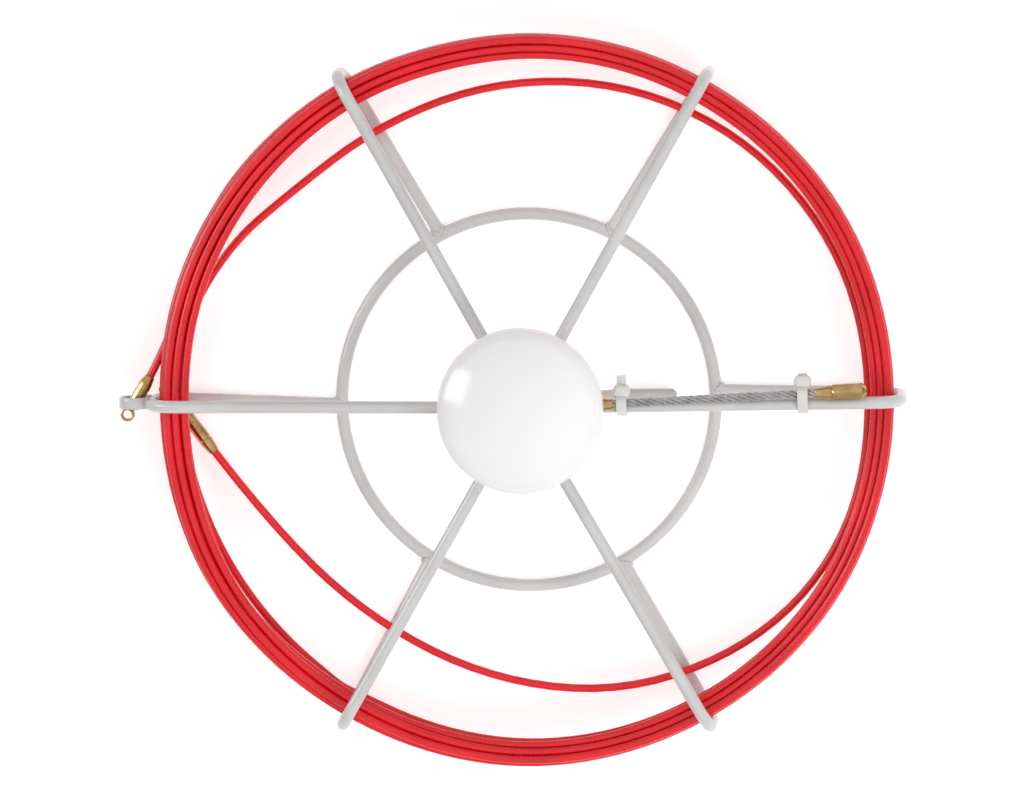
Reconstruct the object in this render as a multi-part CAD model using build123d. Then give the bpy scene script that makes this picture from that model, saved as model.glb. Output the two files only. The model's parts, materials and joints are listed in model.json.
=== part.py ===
from build123d import *

import math
import os

# A hand reel for a jacketed glass-fibre fish rod. The cage is six bent wire brackets welded to a
# hub tube in front and to a ring at the back. It turns about a bent axle that carries the knob.
# Z is the axis of the reel, and the back of the cage rests on z = 0. All sizes are in mm.

# Cage
wire_d = 5.3  # 5 mm steel wire and its powder coat
tip_radius = 161.6  # outside radius of the brackets
cage_depth = 36.0  # from the middle of a rear leg to the middle of a front spoke, at the tips
bend_radius = 12.0  # middle line of the two bends at a bracket's tip
hub_height = 49.0  # middle of the front spokes where they meet the axis
bracket_names = ("right", "upper_right", "upper_left", "left", "lower_left", "lower_right")
bracket_angles = (0, 60.4, 119.1, 180, 240, 299.1)  # as welded, not quite evenly
leg_turn = (2.6, 3.2, -1.8, 0.9, -2.2, 0.4)  # degrees that each leg meets the ring off its spoke
leg_bite, spoke_bite = 0.6, 1.0  # how far the ends of a bracket reach into the ring and the hub
ring_radius = 79.8  # middle line of the back ring
ring_middle = (0.0, -2.0)  # the ring is welded on a little off the axis
guide_bore_r = 5.1
guide_wall = 1.5
guide_length = 5.0
guide_out = 0.2  # gap between the guide eye's bore and the outside of the left bracket
weld_gap = 0.05  # between the guide eye and the bracket that it is welded to

# Hub, bearing and axle
hub_outer_r = 7.0
hub_bore_r = 4.5
hub_low, hub_high = 41.9, 54.9
axle_r = 2.5
running_gap = 0.06  # radial, between the axle and its bushes
flange_r = 6.5
flange_thick = 1.0
bush_length = 5.6  # the sleeve inside the hub tube
end_play = 0.2
washer_thick, washer_gap = 1.0, 0.15
collar_r, collar_thick = 5.5, 3.0
nut_across, nut_thick = 8.0, 2.7
axle_top = 71.0
arm_lift = 1.2  # between the arm and the surface that the cage lies on
arm_slant_start = 28.0  # height where the axle bends away from the axis
arm_flat_start = 41.0  # distance from the axis where the arm turns level
arm_reach = 63.4
arm_bends = (10.0, 14.0)

# Knob
knob_r = 35.1
knob_edge = 62.0  # height of its widest circle
knob_rise = 16.5  # from there to its top
knob_wall = 3.0  # also the radius of the rounding under the widest circle
shoulder_r = 9.5
base_low, base_thick = 60.0, 2.0
base_gap = 0.05  # between the base and the dome round it
boss_r, boss_high = 9.0, 74.5
insert_r, insert_high = 4.0, 72.0

# Fish rod
rod_d = 3.5
coil_outer_r = 156.0
coil_inner_r = 143.3
coil_inner_shift = 1.6  # the inside of the coil lies off the axis, towards +X
coil_low, coil_thick = 15.4, 10.5
coil_round = 3.4
lead_lean = 31.5  # degrees between the lead fitting and the bore of the guide eye
lead_mouth = 13.1  # from the middle of the guide eye back to the lead ferrule's mouth
lead_long, tail_long = 15.6, 27.0  # lengths of the two ferrules
lead_neck = 3.5  # from the lead ferrule's end to the middle of its eye
tail_mouth = (-134.0, -22.3, 12.0)
tail_eye_middle = (-154.5, 4.9, 12.0)
ferrule_r, ferrule_mouth_r, ferrule_taper = 2.85, 2.1, 6.0
ferrule_edge = 0.6
eye_r, eye_hole_r, eye_thick, eye_round = 3.0, 1.8, 2.6, 0.7
eye_shank_r, shank_bite = 1.9, 1.0
spigot_r, spigot_long = 1.4, 4.0
spigot_gap, spigot_short = 0.05, 0.5

# Leader, tied to the right-hand spoke
cable_d = 4.3
cable_from, cable_to = 38.5, 123.3  # distances of its ends from the axis
cable_gap = (1.0, 1.8)  # between the cable and the spoke, because its thicker ends rest on the spoke
cable_turn = (74.0, 42.0)  # degrees round the spoke, from +Y towards the front, at its two ends
leader_ferrule_long, leader_ferrule_r, leader_taper = 14.5, 3.0, 5.0
leader_edge, leader_mouth_wall = 0.5, 0.2
tip_long, tip_neck_long, tip_nose = 21.5, 6.5, 2.8
tip_neck_r, tip_r, tip_nose_r = 3.0, 3.8, 2.0
tie_places = (42.1, 118.0)
tie_width, tie_thick, tie_gap = 4.4, 1.1, 0.25
tie_head = (7.2, 5.2, 5.2)
tie_head_round = 1.2
tie_head_gap, tie_head_drop = 0.3, 1.0  # from the cable to the head, and its middle below the cable's
tie_tail = (4.0, 0.8)  # how far the cut tail stands out of each head
tie_tail_width = 3.8

wire_r = wire_d / 2
rod_r = rod_d / 2
cable_r = cable_d / 2
rear_z = wire_r
front_z = rear_z + cage_depth
middle_z = (rear_z + front_z) / 2
tip_line = tip_radius - wire_r
guide_middle = Vector(-tip_radius - guide_bore_r - guide_out, 0, middle_z)


def polar(radius, degrees, z=0.0):
    """A point by its distance from the axis, its direction and its height."""
    turn = math.radians(degrees)
    return Vector(radius * math.cos(turn), radius * math.sin(turn), z)


def spoke_height(distance):
    """Height of the middle of a front spoke at this distance from the axis."""
    return front_z + (hub_height - front_z) * (1 - distance / tip_line)


def round_bar(path, radius):
    """A round bar that follows the path."""
    return sweep(Plane(origin=path @ 0, z_dir=path % 0) * Circle(radius), path=path)


def turned(outline):
    """A solid turned about Z from an outline of (radius, height) points."""
    return revolve(make_face(Plane.XZ * Polyline(*outline, close=True)), axis=Axis.Z)


def sleeve(outer, bore, low, high):
    """A round tube or disc on the reel's axis."""
    return Pos(0, 0, low) * extrude(Circle(outer) - Circle(bore), amount=high - low)


def cord_tube(name, points):
    """A plain tube of the fish rod: straight runs, and an arc at each point as large as they allow."""
    points = [Vector(*p) for p in points]
    runs = [b - a for a, b in zip(points, points[1:])]
    radii = [
        0.45 * min(a.length, b.length) / math.tan(math.radians(a.get_angle(b)) / 2)
        for a, b in zip(runs, runs[1:])
    ]
    path = FilletPolyline(*points, radius=radii)
    tube = round_bar(path, rod_r)
    share = tube.volume / (path.length * math.pi * rod_r**2)
    print(f"{name}: {path.length:.1f} mm long, volume share {share:.4f}, radii", end=" ")
    print(*(f"{r:.0f}" for r in radii))
    return tube


# Cage


def back_ring():
    return Pos(*ring_middle, rear_z) * Torus(ring_radius, wire_r)


def hub_tube():
    return sleeve(hub_outer_r, hub_bore_r, hub_low, hub_high)


def bracket(angle, turn, ring):
    """A U-shaped wire: a rear leg from the ring, two bends at the tip and a front spoke to the hub."""
    leg_end = Vector(*ring_middle, rear_z) + polar(ring_radius + leg_bite, angle + turn)
    spoke_end = hub_outer_r - spoke_bite
    path = FilletPolyline(
        leg_end,
        polar(tip_line, angle, rear_z),
        polar(tip_line, angle, front_z),
        polar(spoke_end, angle, spoke_height(spoke_end)),
        radius=bend_radius,
    )
    hub_core = Pos(0, 0, hub_low) * extrude(Circle(hub_outer_r), amount=hub_high - hub_low)
    return round_bar(path, wire_r) - hub_core - ring


def guide_eye():
    """A short tube welded to the tip of the left bracket. The lead end of the rod goes through it."""
    ring = Circle(guide_bore_r + guide_wall) - Circle(guide_bore_r)
    tube = Plane(origin=guide_middle, z_dir=(0, 1, 0)) * extrude(ring, guide_length / 2, both=True)
    return tube - Pos(-tip_line, 0, middle_z) * Cylinder(wire_r + weld_gap, cage_depth)


# Bearing and axle


def flanged_bush(front):
    """A nylon bush pressed into one end of the hub tube."""
    end = hub_high if front else hub_low
    away = 1 if front else -1
    faces = sorted((end, end + away * flange_thick))
    inside = sorted((end, end - away * bush_length))
    bore = axle_r + running_gap
    return sleeve(flange_r, bore, *faces) + sleeve(hub_bore_r, bore, *inside)


def axle_arm():
    """The axle, whose rear end is bent out into a level arm with a rounded end."""
    arm_z = wire_r + arm_lift
    shoulder = hub_low - flange_thick - end_play - washer_thick - collar_thick
    arm_end = Vector(arm_reach - wire_r, 0, arm_z)
    path = FilletPolyline(
        (0, 0, shoulder),
        (0, 0, arm_slant_start),
        (arm_flat_start, 0, arm_z),
        arm_end,
        radius=arm_bends,
    )
    journal = Pos(0, 0, shoulder) * extrude(Circle(axle_r), amount=axle_top - shoulder)
    return round_bar(path, wire_r) + Pos(arm_end) * Sphere(wire_r) + journal


def hex_nut(low):
    hexagon = RegularPolygon(nut_across / 2, 6, major_radius=False) - Circle(axle_r)
    return Pos(0, 0, low) * extrude(hexagon, amount=nut_thick)


# Knob


def knob_dome():
    """The moulded shell of the knob, open underneath: a flat dome with a rounded shoulder."""
    shoulder = (knob_r - shoulder_r, 0)
    cap_r = (shoulder[0] ** 2 + knob_rise**2 - shoulder_r**2) / (2 * (knob_rise - shoulder_r))
    cap = (0, knob_rise - cap_r)
    meet = math.degrees(math.atan2(cap_r - knob_rise, shoulder[0]))
    outline = []
    for inset in (0, knob_wall):
        outline.append(CenterArc(shoulder, shoulder_r - inset, 0, meet))
        outline.append(CenterArc(cap, cap_r - inset, meet, 90 - meet))
    inside_r = knob_r - knob_wall
    outline.append(Line((0, knob_rise), (0, knob_rise - knob_wall)))
    outline.append(Line((inside_r, 0), (inside_r, -knob_wall)))
    outline.append(CenterArc((inside_r, 0), knob_wall, 270, 90))
    face = make_face(Plane.XZ * (Curve() + outline))
    return Pos(0, 0, knob_edge) * revolve(face, axis=Axis.Z)


def knob_base():
    """The disc that closes the knob underneath, and the boss that holds its threaded insert."""
    disc = sleeve(knob_r - knob_wall - base_gap, insert_r, base_low, base_low + base_thick)
    return disc + sleeve(boss_r, insert_r, base_low, boss_high)


# Fittings on the fish rod and the leader


def ferrule(long):
    """A brass ferrule along +Z, tapered to the mouth that it is crimped at, with a hole for the eye."""
    outline = [
        (0, 0),
        (ferrule_mouth_r, 0),
        (ferrule_r, ferrule_taper),
        (ferrule_r, long - ferrule_edge),
        (ferrule_r - ferrule_edge, long),
        (spigot_r, long),
        (spigot_r, long - spigot_long),
        (0, long - spigot_long),
    ]
    return turned(outline)


def pull_eye(neck):
    """A flat eye along +Z: a spigot in the ferrule, a shank as long as the neck, and a drilled disc."""
    shank_top = neck - eye_r + shank_bite
    spigot_reach = spigot_long - spigot_short
    disc = Pos(0, 0, neck) * Rot(90, 0, 0) * Cylinder(eye_r, eye_thick)
    disc = fillet(disc.edges().filter_by(GeomType.CIRCLE), eye_round)
    shank = Pos(0, 0, shank_top / 2) * Cylinder(eye_shank_r, shank_top)
    spigot = Pos(0, 0, -spigot_reach / 2) * Cylinder(spigot_r - spigot_gap, spigot_reach)
    hole = Pos(0, 0, neck) * Rot(90, 0, 0) * Cylinder(eye_hole_r, 2 * eye_thick)
    return disc + shank + spigot - hole


def placed(shape, start, towards, along=0.0):
    """Turns a shape made along +Z to point from start towards a point, that far along the way."""
    direction = (Vector(towards) - Vector(start)).normalized()
    level = direction.cross(Vector(0, 0, 1)).normalized()
    plane = Plane(origin=Vector(start) + direction * along, x_dir=level, z_dir=direction)
    return plane * shape


def on_spoke(distance, degrees, gap):
    """A point beside the right-hand spoke, at this distance from the axis and this gap from its middle."""
    side = math.radians(degrees)
    return Vector(distance, gap * math.cos(side), spoke_height(distance) + gap * math.sin(side))


def leader_tip():
    """The brass tip of the leader along +Z: a crimped neck, a six-sided barrel and a rounded nose."""
    neck = Pos(0, 0, tip_neck_long / 2) * Cylinder(tip_neck_r, tip_neck_long)
    barrel_long = tip_long - tip_neck_long
    barrel = Pos(0, 0, tip_neck_long) * extrude(RegularPolygon(tip_r, 6), amount=barrel_long)
    nose = turned(
        [
            (0, tip_neck_long),
            (tip_neck_r, tip_neck_long),
            (tip_r, tip_neck_long + tip_r - tip_neck_r),
            (tip_r, tip_long - tip_nose),
            (tip_nose_r, tip_long),
            (0, tip_long),
        ]
    )
    return neck + (barrel & nose)


def cable_tie(distance, cable_point, tail):
    """A nylon tie round the right-hand spoke and the leader, with its head and its cut tail."""
    spoke_at = (0, spoke_height(distance))
    cable_at = (cable_point.Y, cable_point.Z)

    def wrap(gap):
        circles = Pos(*spoke_at) * Circle(wire_r + gap) + Pos(*cable_at) * Circle(cable_r + gap)
        return make_hull(circles.edges())

    band = Plane.YZ * (wrap(tie_gap + tie_thick) - wrap(tie_gap))
    band = Pos(distance, 0, 0) * extrude(band, tie_width / 2, both=True)
    head_y = cable_at[0] + cable_r + tie_gap + tie_head[1] / 2 + tie_head_gap
    head_z = cable_at[1] - tie_head_drop
    head = Pos(distance, head_y, head_z) * Box(*tie_head)
    head = fillet(head.edges(), tie_head_round)
    stub_long = tie_head[1] / 2 + tail
    stub = Pos(distance, head_y + stub_long / 2, head_z) * Box(tie_tail_width, stub_long, tie_thick)
    return band + head + stub


def main():
    os.makedirs("parts", exist_ok=True)
    nodes = {"back_ring": back_ring(), "hub_tube": hub_tube()}
    for name, angle, turn in zip(bracket_names, bracket_angles, leg_turn):
        nodes[f"bracket_{name}"] = bracket(angle, turn, nodes["back_ring"])
    nodes["guide_eye"] = guide_eye()

    washer_low = hub_low - flange_thick - end_play - washer_thick
    washer_bore = axle_r + washer_gap
    front_washer_low = hub_high + flange_thick + end_play
    nodes["front_bush"] = flanged_bush(front=True)
    nodes["rear_bush"] = flanged_bush(front=False)
    nodes["axle_arm"] = axle_arm()
    nodes["thrust_collar"] = sleeve(collar_r, axle_r, washer_low - collar_thick, washer_low)
    nodes["rear_washer"] = sleeve(flange_r, washer_bore, washer_low, washer_low + washer_thick)
    nodes["front_washer"] = sleeve(
        flange_r, washer_bore, front_washer_low, front_washer_low + washer_thick
    )
    nodes["lock_nut"] = hex_nut(front_washer_low + washer_thick)
    nodes["knob_insert"] = sleeve(insert_r, axle_r, base_low, insert_high)
    nodes["knob_base"] = knob_base()
    nodes["knob_dome"] = knob_dome()

    coil = Circle(coil_outer_r) - Pos(coil_inner_shift, 0) * Circle(coil_inner_r)
    coil = Pos(0, 0, coil_low) * extrude(coil, amount=coil_thick)
    nodes["fish_rod_coil"] = fillet(coil.edges().filter_by(GeomType.CIRCLE), coil_round)

    # The lead end of the rod leaves the outside of the coil and goes out through the guide eye.
    lead_way = Vector(0, -1, 0).rotate(Axis.Z, -lead_lean)
    lead_start = guide_middle - lead_way * lead_mouth
    nodes["fish_rod_lead"] = cord_tube(
        "fish_rod_lead", [lead_start, (-153.9, 22.6, middle_z), (-145.2, 45.8, middle_z)]
    )
    nodes["lead_ferrule"] = placed(ferrule(lead_long), lead_start, guide_middle)
    nodes["lead_eye"] = placed(pull_eye(lead_neck), lead_start, guide_middle, lead_long)

    # The last turn leaves the coil at the left, crosses the top and comes back to it at the right.
    loop = [
        (143.6, 162, 18.0),
        (134.4, 141, 14.0),
        (132.3, 118, 11.5),
        (135.8, 95, 11.0),
        (140.7, 72, 11.2),
        (144.7, 50, 12.2),
        (146.9, 29, 14.5),
        (147.4, 9, 18.0),
    ]
    nodes["fish_rod_loop"] = cord_tube("fish_rod_loop", [polar(*p) for p in loop])

    # It leaves the coil again at the lower right and crosses the bottom to the tail ferrule.
    tail = [
        (148.5, -14, 18.0),
        (147.2, -33, 14.5),
        (141.0, -52, 12.0),
        (132.6, -74, 11.2),
        (122.4, -98, 11.0),
        (116.9, -124, 11.0),
        (121.5, -150.5, 12.0),
    ]
    tail_points = [polar(*p) for p in tail] + [Vector(tail_mouth)]
    nodes["fish_rod_tail"] = cord_tube("fish_rod_tail", tail_points)
    neck = (Vector(tail_eye_middle) - Vector(tail_mouth)).length - tail_long
    nodes["tail_ferrule"] = placed(ferrule(tail_long), tail_mouth, tail_eye_middle)
    nodes["tail_eye"] = placed(pull_eye(neck), tail_mouth, tail_eye_middle, tail_long)

    cable_start, cable_end = (
        on_spoke(distance, turn, wire_r + cable_r + gap)
        for distance, turn, gap in zip((cable_from, cable_to), cable_turn, cable_gap)
    )
    way = (cable_end - cable_start).normalized()
    cable_long = (cable_end - cable_start).length
    cable = Pos(0, 0, cable_long / 2) * Cylinder(cable_r, cable_long)
    nodes["leader_cable"] = placed(cable, cable_start, cable_end)
    ferrule_shape = turned(
        [
            (0, 0),
            (leader_ferrule_r - leader_edge, 0),
            (leader_ferrule_r, leader_edge),
            (leader_ferrule_r, leader_ferrule_long - leader_taper),
            (cable_r + leader_mouth_wall, leader_ferrule_long),
            (0, leader_ferrule_long),
        ]
    )
    nodes["leader_ferrule"] = placed(ferrule_shape, cable_start, cable_end, -leader_ferrule_long)
    nodes["leader_tip"] = placed(leader_tip(), cable_start, cable_end, cable_long)
    for name, distance, tail_out in zip(("inner", "outer"), tie_places, tie_tail):
        cable_point = cable_start + way * ((distance - cable_start.X) / way.X)
        nodes[f"cable_tie_{name}"] = cable_tie(distance, cable_point, tail_out)

    for name, shape in nodes.items():
        export_step(shape, f"parts/{name}.step")


main()
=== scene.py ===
import json
import math
import random

import bpy
from mathutils import Matrix, Vector


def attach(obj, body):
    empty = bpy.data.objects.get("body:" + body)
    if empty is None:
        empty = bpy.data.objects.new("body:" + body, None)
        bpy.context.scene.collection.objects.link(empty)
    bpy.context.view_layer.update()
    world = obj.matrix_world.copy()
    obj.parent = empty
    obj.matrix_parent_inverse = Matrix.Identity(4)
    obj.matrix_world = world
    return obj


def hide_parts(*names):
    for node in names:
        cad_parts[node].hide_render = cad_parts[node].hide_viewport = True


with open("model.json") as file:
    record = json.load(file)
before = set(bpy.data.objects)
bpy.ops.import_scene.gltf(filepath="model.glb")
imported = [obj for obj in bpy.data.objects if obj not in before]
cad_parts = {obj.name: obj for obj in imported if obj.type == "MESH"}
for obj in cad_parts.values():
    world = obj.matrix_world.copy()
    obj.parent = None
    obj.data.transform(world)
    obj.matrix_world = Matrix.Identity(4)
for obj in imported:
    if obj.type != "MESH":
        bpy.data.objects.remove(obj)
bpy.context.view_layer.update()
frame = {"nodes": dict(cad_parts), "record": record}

# The detailed pieces of the fish tape reel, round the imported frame. Lengths below are in mm, and MM
# turns them into metres. Z is the axis of the reel, and its back lies on z = 0.

nodes = frame["nodes"]

MM = 0.001
WIRE_R = 2.65
TIP_LINE = 158.95
HUB_R = 7.0
HUB_Z = 49.0
REAR_Z = 2.65
FRONT_Z = 38.65
MIDDLE_Z = 20.65
RING_R = 79.8
RING_MIDDLE = Vector((0.0, -2.0, REAR_Z))
BRACKETS = {
    "right": (0, 2.6),
    "upper_right": (60.4, 3.2),
    "upper_left": (119.1, -1.8),
    "left": (180, 0.9),
    "lower_left": (240, -2.2),
    "lower_right": (299.1, 0.4),
}
GUIDE = Vector((-166.9, 0.0, MIDDLE_Z))
GUIDE_R = 6.6
GUIDE_BORE = 5.1
GUIDE_LONG = 5.0
ROD_R = 1.75
COIL_R = 156.0
LEAD_LEAN = math.radians(31.5)
LEAD_MOUTH = 13.1
LEAD_START = GUIDE + Vector((math.sin(LEAD_LEAN), math.cos(LEAD_LEAN), 0)) * LEAD_MOUTH
LEAD_LONG = 15.6
LEAD_NECK = 3.5
TAIL_MOUTH = Vector((-134.0, -22.3, 12.0))
TAIL_EYE = Vector((-154.5, 4.9, 12.0))
TAIL_LONG = 27.0
TAIL_NECK = (TAIL_EYE - TAIL_MOUTH).length - TAIL_LONG
CABLE_R = 2.15
ROPE_R = 1.9


def polar(radius, degrees, z=0.0):
    """A point by its distance from the reel's axis, its direction and its height."""
    turn = math.radians(degrees)
    return Vector((radius * math.cos(turn), radius * math.sin(turn), z))


def spoke_z(distance):
    """Height of the middle of a front spoke at this distance from the axis."""
    return FRONT_Z + (HUB_Z - FRONT_Z) * (1 - distance / TIP_LINE)


def smooth(t):
    t = min(max(t, 0.0), 1.0)
    return t * t * (3 - 2 * t)


def swell(angle, middle, reach):
    """One at a direction, fading to nothing this many degrees away."""
    return smooth(1 - abs((angle - middle + 180) % 360 - 180) / reach)


# Camera


def make_camera():
    """Looks down on the reel from the knob's side, a little from +Y and +X."""
    aim = Vector((-6.0, 0.0, MIDDLE_Z)) * MM
    back = Vector((math.tan(math.radians(3.73)), math.tan(math.radians(6.5)), 1.0)).normalized()
    right = Vector((0, 1, 0)).cross(back).normalized()
    axes = Matrix((right, back.cross(right), back)).transposed()
    camera = bpy.data.objects.new("camera", bpy.data.cameras.new("camera"))
    bpy.context.collection.objects.link(camera)
    camera.location = aim + 3.5 * back
    camera.rotation_euler = (axes @ Matrix.Rotation(math.radians(-0.78), 3, "Z")).to_euler()
    camera.data.lens = 290
    camera.data.sensor_width = 36
    bpy.context.scene.camera = camera


# Materials


class Finish:
    """A material under construction: a principled shader, and short calls for the nodes before it."""

    def __init__(self, name, color, roughness, metallic=0.0, **sockets):
        self.material = bpy.data.materials.new(name)
        self.material.use_nodes = True
        self.tree = self.material.node_tree
        self.shader = self.tree.nodes["Principled BSDF"]
        self.place = self.add("ShaderNodeTexCoord").outputs["Object"]
        self.set(self.shader, "Base Color", (*color, 1.0))
        self.set(self.shader, "Roughness", roughness)
        self.set(self.shader, "Metallic", metallic)
        for socket, value in sockets.items():
            self.set(self.shader, socket.replace("_", " "), value)

    def add(self, kind):
        return self.tree.nodes.new(kind)

    def set(self, node, socket, value):
        node.inputs[socket].default_value = value

    def link(self, output, node, socket):
        self.tree.links.new(output, node.inputs[socket])

    def noise(self, scale, detail=3.0, roughness=0.5):
        node = self.add("ShaderNodeTexNoise")
        self.set(node, "Scale", scale)
        self.set(node, "Detail", detail)
        self.set(node, "Roughness", roughness)
        self.link(self.place, node, "Vector")
        return node.outputs["Fac"]

    def colors(self, fac, *stops):
        """Base colour from a value, by (position, colour) stops."""
        node = self.add("ShaderNodeValToRGB")
        ramp = node.color_ramp
        while len(ramp.elements) < len(stops):
            ramp.elements.new(0.5)
        for element, (at, color) in zip(ramp.elements, stops):
            element.position = at
            element.color = (*color, 1.0)
        self.link(fac, node, "Fac")
        self.link(node.outputs["Color"], self.shader, "Base Color")

    def roughness(self, fac, low, high):
        """Roughness between low and high, from a noise value."""
        node = self.add("ShaderNodeMapRange")
        self.set(node, "From Min", 0.3)
        self.set(node, "From Max", 0.7)
        self.set(node, "To Min", low)
        self.set(node, "To Max", high)
        self.link(fac, node, "Value")
        self.link(node.outputs["Result"], self.shader, "Roughness")

    def bump(self, *layers):
        """Bump from (height, strength, distance) layers, one upon the other."""
        normal = None
        for height, strength, distance in layers:
            node = self.add("ShaderNodeBump")
            self.set(node, "Strength", strength)
            self.set(node, "Distance", distance)
            self.link(height, node, "Height")
            if normal:
                self.link(normal, node, "Normal")
            normal = node.outputs["Normal"]
        self.link(normal, self.shader, "Normal")


def cage_coat():
    """Light grey gloss powder coat, with an orange-peel surface and a few dull patches."""
    m = Finish("cage_coat", (0.60, 0.60, 0.59), 0.16)
    m.colors(m.noise(40), (0.3, (0.54, 0.545, 0.54)), (0.7, (0.63, 0.63, 0.62)))
    m.roughness(m.noise(130, 4), 0.10, 0.22)
    m.bump((m.noise(650, 2), 0.35, 0.0002), (m.noise(2600, 2), 0.12, 0.0001))
    return m.material


def arm_coat():
    """The same coat on the axle's arm, rougher, in a darker, pinkish-grey copy of its colour: painted shade
    and painted red bounce light from the rod.
    """
    m = Finish("arm_coat", (0.52, 0.49, 0.49), 0.28)
    # painted shade and painted red bounce light: the cage coat's grey made darker and pinker for the rear
    # arm
    m.colors(m.noise(60), (0.3, (0.47, 0.44, 0.445)), (0.7, (0.55, 0.525, 0.52)))
    m.roughness(m.noise(160, 4), 0.22, 0.38)
    m.bump((m.noise(650, 2), 0.3, 0.0002))
    return m.material


def knob_plastic():
    """White gloss moulded plastic with faint flow marks and fine scuffs."""
    m = Finish("knob_plastic", (0.90, 0.90, 0.90), 0.10)
    m.colors(m.noise(18), (0.3, (0.87, 0.87, 0.875)), (0.7, (0.92, 0.92, 0.925)))
    m.roughness(m.noise(260, 5, 0.65), 0.11, 0.20)
    m.bump((m.noise(90, 1), 0.03, 0.0002))
    return m.material


def rod_jacket():
    """Red nylon jacket, smooth from the die, with slightly paler and duller stretches."""
    m = Finish("rod_jacket", (0.74, 0.005, 0.012), 0.30)
    m.colors(m.noise(35), (0.3, (0.66, 0.003, 0.010)), (0.7, (0.80, 0.008, 0.018)))
    m.roughness(m.noise(220, 4), 0.24, 0.38)
    m.bump((m.noise(1500, 2), 0.08, 0.0001))
    return m.material


def brass():
    """Turned brass, tarnished unevenly, with fine handling marks."""
    m = Finish("brass", (0.55, 0.36, 0.13), 0.28, metallic=1.0)
    m.colors(
        m.noise(140, 4, 0.55),
        (0.28, (0.34, 0.21, 0.08)),
        (0.50, (0.50, 0.33, 0.14)),
        (0.75, (0.66, 0.46, 0.22)),
    )
    m.roughness(m.noise(480, 4), 0.14, 0.30)
    m.bump((m.noise(1300, 3), 0.12, 0.0001))
    return m.material


def steel(name, shade, low, high):
    """Bare or zinc-plated steel."""
    m = Finish(name, (shade, shade, shade), low, metallic=1.0)
    pale = min(1.0, shade * 1.15)
    m.colors(m.noise(220, 4), (0.3, (shade * 0.8,) * 3), (0.7, (pale,) * 3))
    m.roughness(m.noise(520, 4), low, high)
    m.bump((m.noise(1600, 3), 0.1, 0.0001))
    return m.material


def nylon(name, color):
    """Natural nylon: waxy, slightly see-through."""
    m = Finish(name, color, 0.36, Subsurface_Weight=0.2, Subsurface_Scale=0.0015)
    darker = tuple(0.93 * c for c in color)
    m.colors(m.noise(120), (0.3, darker), (0.7, color))
    m.roughness(m.noise(350, 3), 0.30, 0.46)
    m.bump((m.noise(900, 2), 0.06, 0.0001))
    return m.material


def paper():
    """The white sweep that the reel lies on."""
    m = Finish("paper", (0.93, 0.93, 0.93), 0.9, Emission_Color=(1.0, 1.0, 1.0, 1.0), Emission_Strength=0.34)
    m.colors(m.noise(3), (0.3, (0.925, 0.925, 0.925)), (0.7, (0.935, 0.935, 0.935)))
    return m.material


# Mesh building


def loft(sections, closed=False):
    """Vertices and faces that join closed sections of equal length. Open lofts get end caps."""
    count = len(sections[0])
    verts = [point for section in sections for point in section]
    faces = []
    for i in range(len(sections) if closed else len(sections) - 1):
        low, high = i * count, (i + 1) % len(sections) * count
        for j in range(count):
            k = (j + 1) % count
            faces.append((low + j, low + k, high + k, high + j))
    if not closed:
        faces.append(tuple(reversed(range(count))))
        faces.append(tuple(range(len(verts) - count, len(verts))))
    return verts, faces


def piece(name, material, shapes, body="cage", replaces=(), sharp=38):
    """One object in metres from lofts in mm, riding on a body."""
    verts, faces = [], []
    for shape_verts, shape_faces in shapes:
        base = len(verts)
        verts.extend(v * MM for v in shape_verts)
        faces.extend(tuple(base + i for i in face) for face in shape_faces)
    mesh = bpy.data.meshes.new(name)
    mesh.from_pydata(verts, [], faces)
    mesh.validate()
    mesh.shade_smooth()
    mesh.set_sharp_from_angle(angle=math.radians(sharp))
    mesh.materials.append(material)
    obj = bpy.data.objects.new(name, mesh)
    bpy.context.collection.objects.link(obj)
    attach(obj, body)
    if replaces:
        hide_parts(*replaces)
    return obj


def axes_along(way):
    """Two level and upright directions across a direction."""
    level = way.cross(Vector((0, 0, 1))).normalized()
    return level, way.cross(level)


def round_section(middle, across, up, radius, count=40):
    """A round section whose radius is a number, or a function of the angle in radians."""
    points = []
    for i in range(count):
        angle = math.tau * i / count
        r = radius(angle) if callable(radius) else radius
        points.append(middle + across * (r * math.cos(angle)) + up * (r * math.sin(angle)))
    return points


def turned(start, way, profile, count=40):
    """A turned part along a direction, from (along, radius) pairs."""
    level, up = axes_along(way)
    return loft([round_section(start + way * h, level, up, r, count) for h, r in profile])


def box_section(middle, across, up, half_a, half_b, corner, per_corner=4):
    """A rectangle with rounded corners."""
    points = []
    for quarter in range(4):
        sign_a = 1 if quarter in (0, 3) else -1
        sign_b = 1 if quarter in (0, 1) else -1
        for i in range(per_corner):
            angle = math.radians(90 * quarter + 90 * i / (per_corner - 1))
            a = sign_a * (half_a - corner) + corner * math.cos(angle)
            b = sign_b * (half_b - corner) + corner * math.sin(angle)
            points.append(middle + across * a + up * b)
    return points


def tube(points, radii, count=12, closed=False, first_up=Vector((0, 0, 1))):
    """A round tube along points, its section carried along without twisting."""
    sections = []
    up = first_up
    last = len(points) - 1
    for i, point in enumerate(points):
        before = points[i - 1] if (closed or i) else points[0]
        after = points[(i + 1) % len(points)] if (closed or i < last) else points[last]
        way = (after - before).normalized()
        across = way.cross(up).normalized()
        up = across.cross(way)
        radius = radii[i] if isinstance(radii, list) else radii
        sections.append(round_section(point, across, up, radius, count))
    return loft(sections, closed)


# Fish rod

TURNS = 10
PER_TURN = 24
COIL_START = 148.0
SLOT = 3.5
LOWEST = -3.7
HIGHEST = 7.5
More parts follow.
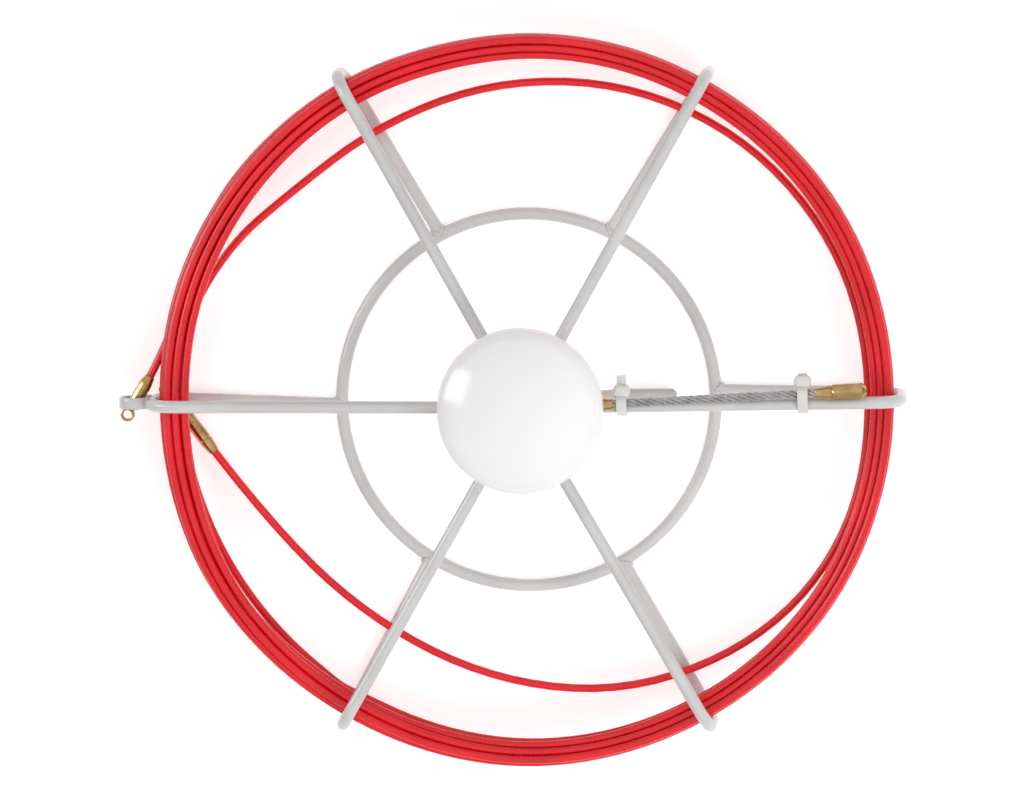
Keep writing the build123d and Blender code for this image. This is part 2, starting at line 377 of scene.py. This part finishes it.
# Where the turns lie in the bundle, as (outward, up) in slots from its middle: first all round, then
# at the left.
BUNDLE = [
    (1.0, -1.05), (1.0, 0.0), (1.0, 1.0), (1.0, 2.0), (0.0, 1.5),
    (-1.0, 1.0), (0.0, 0.45), (-1.0, 0.0), (0.0, -0.55), (-1.0, -1.05),
]
LEFT_BUNDLE = [
    (1.5, -0.9), (1.5, 0.15), (1.45, 1.2), (0.6, 1.7), (-0.4, 1.6),
    (-1.4, 1.3), (0.1, 0.6), (-1.2, 0.25), (0.3, -0.5), (-0.8, -0.85),
]
# How far the coil bulges between two brackets, as (height, direction, reach in degrees).
BULGES = [(1.8, 210, 28), (0.9, 150, 26), (-1.3, 100, 18), (0.9, 30, 26), (0.7, 270, 26), (0.6, 325, 22)]


def bundle_points():
    """Where each turn would lie in the bundle, as (outward, up) from its middle, before the turns
    push each other apart. The bundle is three turns wide, and four at the left."""
    rng = random.Random(11)
    drift = [
        [(rng.uniform(0, math.tau), rng.uniform(0.2, 0.8)) for _ in range(3)] for _ in range(2 * TURNS)
    ]
    points = []
    for step in range(TURNS * PER_TURN):
        turn, part = divmod(step / PER_TURN, 1)
        turn = int(turn)
        left = min(1.0, 1.6 * swell(COIL_START - 360 * part, 178, 62))
        slots = [min(turn, TURNS - 1), min(turn + 1, TURNS - 1)]
        here, after = (Vector(BUNDLE[k]).lerp(Vector(LEFT_BUNDLE[k]), left) for k in slots)
        spot = here.lerp(after, smooth((part - 0.6) / 0.4)) * SLOT
        angle = math.radians(COIL_START) - math.tau * part
        spot.x *= 0.92 - 0.22 * math.cos(angle)
        fade = math.sin(math.pi * part)
        for axis, waves in enumerate((drift[2 * turn], drift[2 * turn + 1])):
            wave = sum(a * math.sin((n + 1) * angle + p) for n, (p, a) in enumerate(waves))
            spot[axis] += fade * wave * (0.6, 1.0)[axis]
        points.append(spot)
    return points


def settle(points, rounds=80):
    """Pushes the turns apart where they would lie in one another, and keeps each of them smooth."""
    for number in range(rounds):
        for i in range(len(points)):
            for j in range(i + PER_TURN, len(points), PER_TURN):
                gap = points[j] - points[i]
                short = 2.0 * ROD_R - gap.length
                if short > 0:
                    push = gap.normalized() * (short / 2)
                    points[i] = points[i] - push
                    points[j] = points[j] + push
        for point in points:
            point.y = min(max(point.y, LOWEST), HIGHEST)
        if number < rounds - 6:
            for i in range(1, len(points) - 1):
                points[i] = points[i].lerp((points[i - 1] + points[i + 1]) / 2, 0.10)


def coil_points():
    """The coil's turns, clockwise from the lead end, pressed outward against the brackets. Between two
    brackets they bulge a little."""
    points = bundle_points()
    settle(points)
    widest = [max(points[i].x for i in range(k, len(points), PER_TURN)) for k in range(PER_TURN)]
    cut_corner = 1 / math.cos(math.pi / PER_TURN)
    route = []
    for step, spot in enumerate(points[:-5]):
        angle = COIL_START - 360 * step / PER_TURN
        reach = COIL_R - ROD_R + 0.2 * math.sin(math.radians(angle)) ** 2
        reach += sum(bulge * swell(angle, middle, wide) for bulge, middle, wide in BULGES)
        radius = reach + spot.x - widest[step % PER_TURN]
        route.append(polar(radius * cut_corner, angle, MIDDLE_Z + spot.y))
    return route


def make_fish_rod(material):
    lead = [LEAD_START, Vector((-153.9, 22.6, 19.2)), Vector((-145.2, 45.8, 16.4))]
    # The last turn dives under the bundle and the tail fitting, crosses the top and comes back to
    # the bundle at the right.
    loop = [
        (147.4, 236, 15.6),
        (147.4, 224, 11.9),
        (147.6, 212, 9.0),
        (148.2, 200, 7.4),
        (149.0, 188, 6.9),
        (149.8, 176, 7.0),
        (148.8, 165, 7.8),
        (141.8, 152, 9.4),
        (134.4, 141, 10.4),
        (132.3, 118, 11.0),
        (135.8, 95, 11.0),
        (140.7, 72, 11.2),
        (144.7, 50, 11.4),
        (146.9, 29, 11.6),
        (147.4, 9, 11.6),
    ]
    # It leaves it again at the lower right and crosses the bottom to the tail fitting.
    tail = [
        (148.5, -14, 11.6),
        (147.2, -33, 11.6),
        (141.0, -52, 11.4),
        (132.6, -74, 11.2),
        (122.4, -98, 11.0),
        (116.9, -124, 11.0),
        (121.5, -150.5, 12.0),
    ]
    points = lead + coil_points() + [polar(*p) for p in loop + tail] + [TAIL_MOUTH]
    data = bpy.data.curves.new("fish_rod", "CURVE")
    data.dimensions = "3D"
    spline = data.splines.new("NURBS")
    spline.points.add(len(points) - 1)
    for control, point in zip(spline.points, points):
        control.co = (*(point * MM), 1.0)
    spline.order_u = 3
    spline.use_endpoint_u = True
    spline.resolution_u = 6
    data.bevel_depth = ROD_R * MM
    data.bevel_resolution = 5
    data.materials.append(material)
    rod = bpy.data.objects.new("fish_rod", data)
    bpy.context.collection.objects.link(rod)
    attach(rod, "cage")
    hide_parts("fish_rod_coil", "fish_rod_lead", "fish_rod_loop", "fish_rod_tail")


# Fittings on the rod


def ferrule_profile(long, grooves):
    """A ferrule from its crimped mouth: a swelling taper, a straight body and turned grooves."""
    mouth, body, taper = 2.1, 2.85, 6.2
    lip = 0.2
    profile = [(0.0, 1.8), (0.0, mouth - lip), (0.06, mouth - 0.06), (lip, mouth)]
    for i in range(1, 9):
        t = i / 8
        profile.append((lip + (taper - lip) * t, mouth + (body - mouth) * math.sin(t * math.pi / 2)))
    for at in grooves:
        profile += [
            (at - 0.32, body),
            (at - 0.2, body - 0.14),
            (at, body - 0.2),
            (at + 0.2, body - 0.14),
            (at + 0.32, body),
        ]
    profile += [(long - 0.6, body), (long - 0.18, body - 0.18), (long, body - 0.6), (long, 1.0)]
    return profile


def make_ferrule(name, start, towards, long, grooves, material, node):
    way = (towards - start).normalized()
    return piece(name, material, [turned(start, way, ferrule_profile(long, grooves))],
                 replaces=[node])


def make_eye(name, start, towards, long, neck, material, node):
    """A drawn eye on a short threaded shank that is screwed into the ferrule."""
    way = (towards - start).normalized()
    level, up = axes_along(way)
    middle = start + way * (long + neck)
    mid_r, half_wall, half_thick = 2.4, 0.6, 1.3
    ring = []
    for i in range(48):
        angle = math.tau * i / 48
        out = level * math.cos(angle) + way * math.sin(angle)
        ring.append(box_section(middle + out * mid_r, out, up, half_wall, half_thick, 0.6))
    foot = start + way * (long - 1.2)
    reach = 1.2 + neck - mid_r
    threads = max(0, round((neck - 4.0) / 0.8))
    profile = [(0.0, 1.9), (1.2, 1.9)]
    for i in range(threads):
        profile += [(1.3 + 0.8 * i, 1.62), (1.7 + 0.8 * i, 1.9), (1.9 + 0.8 * i, 1.9)]
    profile += [(reach - 0.5, 1.85), (reach - 0.1, 1.7), (reach + 0.25, 1.25)]
    return piece(name, material, [loft(ring, closed=True), turned(foot, way, profile, 28)],
                 replaces=[node])


def make_guide_eye(material):
    """The short tube at the tip of the left bracket, its rims rounded under the coat."""
    half = GUIDE_LONG / 2
    edge = (GUIDE_R - GUIDE_BORE) / 2
    crown = 0.6 * edge
    outline = []
    for side in (1, -1):
        for i in range(9):
            angle = math.pi * i / 8
            radius = GUIDE_R - edge + side * edge * math.cos(angle)
            outline.append((radius, side * (half - crown + crown * math.sin(angle))))
    sections = []
    for i in range(72):
        angle = math.tau * i / 72
        out = Vector((math.cos(angle), 0, math.sin(angle)))
        sections.append([GUIDE + out * r + Vector((0, y, 0)) for r, y in outline])
    tube_shape = loft(sections, closed=True)
    return piece("guide_eye_tube", material, [tube_shape], replaces=["guide_eye"])


# Welds


def bead(points, size, rng, closed):
    """A weld bead: a lumpy tube along the joint, tapering away at open ends."""
    last = len(points) - 1
    radii = []
    for i in range(len(points)):
        lump = size * (1 + 0.16 * math.sin(2.1 * i) + rng.uniform(-0.10, 0.10))
        if not closed:
            lump *= 0.35 + 0.65 * smooth(5 * min(i, last - i) / last)
        radii.append(lump)
    return tube(points, radii, 14, closed, first_up=Vector((0.13, 0.31, 0.94)).normalized())


def ring_weld(angle, turn, rng):
    """Where a rear leg meets the ring: round the leg, except underneath, where it is ground flat."""
    joint = RING_MIDDLE + polar(RING_R, angle + turn)
    way = (polar(TIP_LINE, angle, REAR_Z) - joint).normalized()
    side = Vector((-way.y, way.x, 0))
    points = []
    for i in range(25):
        phi = math.radians(-28 + 236 * i / 24)
        along = WIRE_R * abs(math.cos(phi)) + 0.25
        rise = Vector((0, 0, WIRE_R * math.sin(phi)))
        points.append(joint + way * along + side * (WIRE_R * math.cos(phi)) + rise)
    return bead(points, 0.95, rng, closed=False)


def hub_weld(angle, rng):
    """Where a front spoke meets the hub tube."""
    out = polar(1, angle)
    side = Vector((-out.y, out.x, 0))
    points = []
    for i in range(28):
        phi = math.tau * i / 28
        y = WIRE_R * math.cos(phi)
        reach = math.sqrt(HUB_R**2 - y**2) + 0.2
        points.append(out * reach + side * y + Vector((0, 0, spoke_z(HUB_R) + WIRE_R * math.sin(phi))))
    return bead(points, 0.85, rng, closed=True)


def guide_weld(rng):
    """Where the guide eye meets the tip of the left bracket."""
    points = []
    for i in range(30):
        phi = math.tau * i / 30
        y = 2.28 * math.cos(phi)
        x = -TIP_LINE - math.sqrt(WIRE_R**2 - y**2)
        rise = math.sqrt(max(0.0, GUIDE_R**2 - (x - GUIDE.x) ** 2))
        z = GUIDE.z + math.copysign(rise, math.sin(phi))
        points.append(Vector((x - 0.1, y, z)))
    return bead(points, 1.0, rng, closed=True)


def make_welds(material):
    rng = random.Random(5)
    for name, (angle, turn) in BRACKETS.items():
        piece(f"weld_ring_{name}", material, [ring_weld(angle, turn, rng)], sharp=80)
        piece(f"weld_hub_{name}", material, [hub_weld(angle, rng)], sharp=80)
    piece("weld_guide", material, [guide_weld(rng)], sharp=80)


# Leader


def on_spoke(distance, degrees, gap):
    """A point beside the right-hand spoke, as in the CAD model."""
    side = math.radians(degrees)
    return Vector((distance, gap * math.cos(side), spoke_z(distance) + gap * math.sin(side)))


CABLE_START = on_spoke(38.5, 74.0, WIRE_R + CABLE_R + 1.0)
CABLE_END = on_spoke(123.3, 42.0, WIRE_R + CABLE_R + 1.8)
CABLE_WAY = (CABLE_END - CABLE_START).normalized()


def make_cable(material):
    """A twisted steel cable: six strands of seven wires round a core, as a 6 x 7 rope is laid."""
    level, up = axes_along(CABLE_WAY)
    begin, long = -2.0, (CABLE_END - CABLE_START).length + 4.0
    strand_r = ROPE_R / 3
    wire_r = strand_r / 3
    steps = 130
    rope_lay, strand_lay = 21.0, 8.0
    shapes = []

    def around(turn):
        return level * math.cos(turn) + up * math.sin(turn)

    for strand in range(6):
        for wire in range(7):
            points = []
            for i in range(steps):
                h = long * i / (steps - 1)
                turn = math.tau * (h / rope_lay + strand / 6)
                middle = CABLE_START + CABLE_WAY * (begin + h) + around(turn) * (2 * strand_r)
                if wire:
                    middle = middle + around(turn - math.tau * (h / strand_lay + wire / 6)) * (2 * wire_r)
                points.append(middle)
            shapes.append(tube(points, wire_r * 1.04, 6, first_up=up))
    core = [CABLE_START + CABLE_WAY * (begin + long * i / 20) for i in range(21)]
    shapes.append(tube(core, strand_r * 1.2, 10, first_up=up))
    piece("leader_cable_strands", material, shapes, replaces=["leader_cable"], sharp=80)


def make_leader_ferrule(material):
    """The ferrule at the leader's inner end: a body, and a taper that is crimped on the cable."""
    long, body, mouth, taper = 14.5, 3.0, 2.35, 5.0
    start = CABLE_START - CABLE_WAY * long
    profile = [
        (0, 1.6),
        (0, body - 0.5),
        (0.15, body - 0.15),
        (0.5, body),
        (3.0, body),
        (3.2, body - 0.15),
        (3.6, body - 0.15),
        (3.8, body),
        (long - taper - 0.3, body),
    ]
    for i in range(9):
        t = i / 8
        narrowing = (body - mouth) * math.sin(t * math.pi / 2) ** 1.5
        profile.append((long - taper + (taper - 0.15) * t, body - narrowing))
    profile += [(long, mouth - 0.12), (long, CABLE_R - 0.1)]
    piece("leader_ferrule_turned", material, [turned(start, CABLE_WAY, profile)],
          replaces=["leader_ferrule"])


def make_leader_tip(material):
    """The tip: a neck that flares from the cable, then a barrel of hexagon bar with turned ends."""
    long, neck, nose = 21.5, 7.0, 2.8
    corner_r = 3.8
    flat_r = corner_r * math.cos(math.radians(30))
    level, up = axes_along(CABLE_WAY)

    def hexagon(limit):
        """The radius of the bar by angle, where a turned surface of this radius cuts it."""
        sixth = math.pi / 6
        return lambda angle: min(flat_r / math.cos((angle + sixth) % (2 * sixth) - sixth), limit)

    stations = [(0, 1.8), (0, 2.05), (0.2, 2.2)]
    stations += [(0.2 + (neck - 0.8) * i / 6, 2.2 + 0.85 * smooth(i / 6)) for i in range(1, 7)]
    stations += [
        (neck - 0.5, 2.9),
        (neck - 0.1, 2.9),
        (neck, 3.0),
        (neck + 0.05, hexagon(3.15)),
        (neck + 0.5, hexagon(3.5)),
        (neck + 0.9, hexagon(corner_r)),
        (long - nose, hexagon(corner_r)),
    ]
    for i in range(1, 9):
        t = i / 8
        stations.append((long - nose + nose * t, hexagon(corner_r - (corner_r - 2.0) * t**1.35)))
    stations.append((long, 1.5))
    sections = [round_section(CABLE_END + CABLE_WAY * h, level, up, r, 72) for h, r in stations]
    piece("leader_tip_turned", material, [loft(sections)], replaces=["leader_tip"], sharp=24)


def make_tie(name, distance, tail, material, node):
    """A nylon tie: a smooth band round the spoke and the cable, a domed head and a ribbed cut tail."""
    cable = CABLE_START + CABLE_WAY * ((distance - CABLE_START.x) / CABLE_WAY.x)
    spoke = Vector((distance, 0, spoke_z(distance)))
    along = Vector((1, 0, 0))
    half_width, thick, gap = 2.2, 1.1, 0.25
    band = []
    for i in range(96):
        angle = math.tau * i / 96
        out = Vector((0, math.cos(angle), math.sin(angle)))
        reach = [c.dot(out) + r for c, r in ((spoke, WIRE_R), (cable, CABLE_R))]
        middle, radius = (spoke, WIRE_R) if reach[0] > reach[1] else (cable, CABLE_R)
        place = middle + out * (radius + gap + thick / 2)
        band.append(box_section(place, along, out, half_width, thick / 2, 0.3))
    head_low = cable.y + CABLE_R + gap + 0.3
    head_z = cable.z - 1.0
    up = Vector((0, 0, 1))
    head = []
    for y, half_x, half_z in (
        (-0.5, 2.0, 1.9),
        (-0.1, 2.7, 2.2),
        (0.35, 3.2, 2.45),
        (1.0, 3.5, 2.6),
        (2.2, 3.6, 2.6),
        (3.3, 3.5, 2.55),
        (4.2, 3.2, 2.4),
        (4.8, 2.75, 2.1),
        (5.1, 2.2, 1.7),
        (5.2, 1.7, 1.3),
    ):
        corner = min(half_x, half_z) * 0.62
        place = Vector((distance, head_low + y, head_z))
        head.append(box_section(place, along, up, half_x, half_z, corner, 7))
    strip = []
    ribs = max(1, round(tail / 0.9))
    pitch = (tail + 0.2) / ribs
    for i in range(ribs):
        for part, half in ((0.0, 0.38), (0.55, 0.60), (0.8, 0.60), (0.95, 0.38)):
            middle = Vector((distance, head_low + 5.0 + pitch * (i + part), head_z))
            strip.append(box_section(middle, along, up, 1.9, half, 0.15, 3))
    shapes = [loft(band, closed=True), loft(head), loft(strip)]
    piece(name, material, shapes, replaces=[node], sharp=50)


# Knob


def make_knob(material):
    """The knob's dome: a flat cap arc, a rounded shoulder, a faint mould line and a rolled-in rim."""
    radius, rise, edge_z, shoulder, wall = 35.1, 16.5, 62.0, 9.5, 3.0
    centre = radius - shoulder
    cap_r = (centre**2 + rise**2 - shoulder**2) / (2 * (rise - shoulder))
    meet = math.atan2(cap_r - rise, centre)

    def dome(inset):
        """(radius, height) pairs from the top to the widest circle."""
        pairs = []
        for i in range(28):
            angle = math.pi / 2 - (math.pi / 2 - meet) * i / 27
            r = cap_r - inset
            pairs.append((r * math.cos(angle), rise - cap_r + r * math.sin(angle)))
        for i in range(1, 22):
            angle = meet * (1 - i / 21)
            r = shoulder - inset
            pairs.append((centre + r * math.cos(angle), r * math.sin(angle)))
        return pairs

    outside = dome(0.0)[1:]
    groove = ((0.02, 0.12), (0.12, 0.22), (0.12, 0.32), (0.03, 0.42))
    mould_line = [(radius - deep, -low) for deep, low in groove]
    rim = []
    for i in range(1, 13):
        angle = math.radians(-12 - 78 * i / 12)
        rim.append((radius - wall + wall * math.cos(angle), wall * math.sin(angle)))
    inside = list(reversed(dome(wall)))[:-1]
    outline = outside + mould_line + rim + inside
    count = 160
    sections = []
    for r, z in outline:
        sections.append([polar(r, 360 * i / count, edge_z + z) for i in range(count)])
    piece("knob_shell", material, [loft(sections)], body="spindle",
          replaces=["knob_dome"], sharp=60)


# Floor and light


def make_light(name, place, size, power, aim=(0, 0, 0.02)):
    data = bpy.data.lights.new(name, "AREA")
    data.shape = "RECTANGLE"
    data.size, data.size_y = size
    data.energy = power
    light = bpy.data.objects.new(name, data)
    bpy.context.collection.objects.link(light)
    light.location = place
    light.rotation_euler = (Vector(place) - Vector(aim)).to_track_quat("Z", "Y").to_euler()
    return light


def make_stage():
    """A white sweep lit from below, a surround that is dimmer towards the horizon, a soft box at the
    lower right, and a window at the left that shows only as a reflection."""
    size = 6.0
    mesh = bpy.data.meshes.new("floor")
    corners = [(-size, -size, 0), (size, -size, 0), (size, size, 0), (-size, size, 0)]
    mesh.from_pydata(corners, [], [(0, 1, 2, 3)])
    mesh.materials.append(paper())
    floor = bpy.data.objects.new("floor", mesh)
    bpy.context.collection.objects.link(floor)
    scene = bpy.context.scene
    scene.world = bpy.data.worlds.new("world")
    scene.world.use_nodes = True
    background = scene.world.node_tree.nodes["Background"]
    tree = scene.world.node_tree
    split = tree.nodes.new("ShaderNodeSeparateXYZ")
    ramp = tree.nodes.new("ShaderNodeValToRGB")
    tree.links.new(tree.nodes.new("ShaderNodeTexCoord").outputs["Generated"], split.inputs["Vector"])
    tree.links.new(split.outputs["Z"], ramp.inputs["Fac"])
    tree.links.new(ramp.outputs["Color"], background.inputs["Color"])
    ramp.color_ramp.elements[0].color = (0.10, 0.10, 0.10, 1.0)
    ramp.color_ramp.elements[1].position = 0.62
    background.inputs["Strength"].default_value = 0.95
    scene.view_settings.view_transform = "Standard"
    soft_box = make_light("soft_box", (1.5, -1.3, 1.7), (1.6, 1.6), 22)
    soft_box.visible_glossy = False
    window = make_light("window", (-1.45, 0.42, 0.60), (0.72, 1.25), 15)
    window.visible_diffuse = False


# The whole reel


def finish_nodes(materials):
    """A better material for every CAD node, by its slot in the record."""
    for part in frame["record"]["subparts"]:
        for slot in nodes[part["node"]].material_slots:
            slot.material = materials[part["material_slot"]]


def make_reel():
    coat, gold, tie = cage_coat(), brass(), nylon("tie_nylon", (0.72, 0.71, 0.68))
    fittings = [
        make_ferrule("lead_ferrule_turned", LEAD_START, GUIDE, LEAD_LONG, [6.6], gold, "lead_ferrule"),
        make_eye("lead_eye_ring", LEAD_START, GUIDE, LEAD_LONG, LEAD_NECK, gold, "lead_eye"),
        make_ferrule("tail_ferrule_turned", TAIL_MOUTH, TAIL_EYE, TAIL_LONG, [6.6, 15.8], gold,
                     "tail_ferrule"),
        make_eye("tail_eye_ring", TAIL_MOUTH, TAIL_EYE, TAIL_LONG, TAIL_NECK, gold, "tail_eye"),
        make_guide_eye(coat),
    ]
    red = rod_jacket()
    make_fish_rod(red)
    make_welds(coat)
    cable = steel("cable_steel", 0.56, 0.2, 0.36)
    make_cable(cable)
    make_leader_ferrule(gold)
    make_leader_tip(gold)
    make_tie("tie_inner_loop", 42.1, 4.0, tie, "cable_tie_inner")
    make_tie("tie_outer_loop", 118.0, 0.8, tie, "cable_tie_outer")
    white = knob_plastic()
    make_knob(white)
    finish_nodes({
        "cage_coat": coat,
        "arm_coat": arm_coat(),
        "bush_nylon": nylon("bush_nylon", (0.80, 0.79, 0.74)),
        "zinc_steel": steel("zinc_steel", 0.62, 0.25, 0.42),
        "knob_plastic": white,
        "brass": gold,
        "cable_steel": cable,
        "tie_nylon": tie,
        "rod_jacket": red,
    })


make_camera()
make_reel()
make_stage()
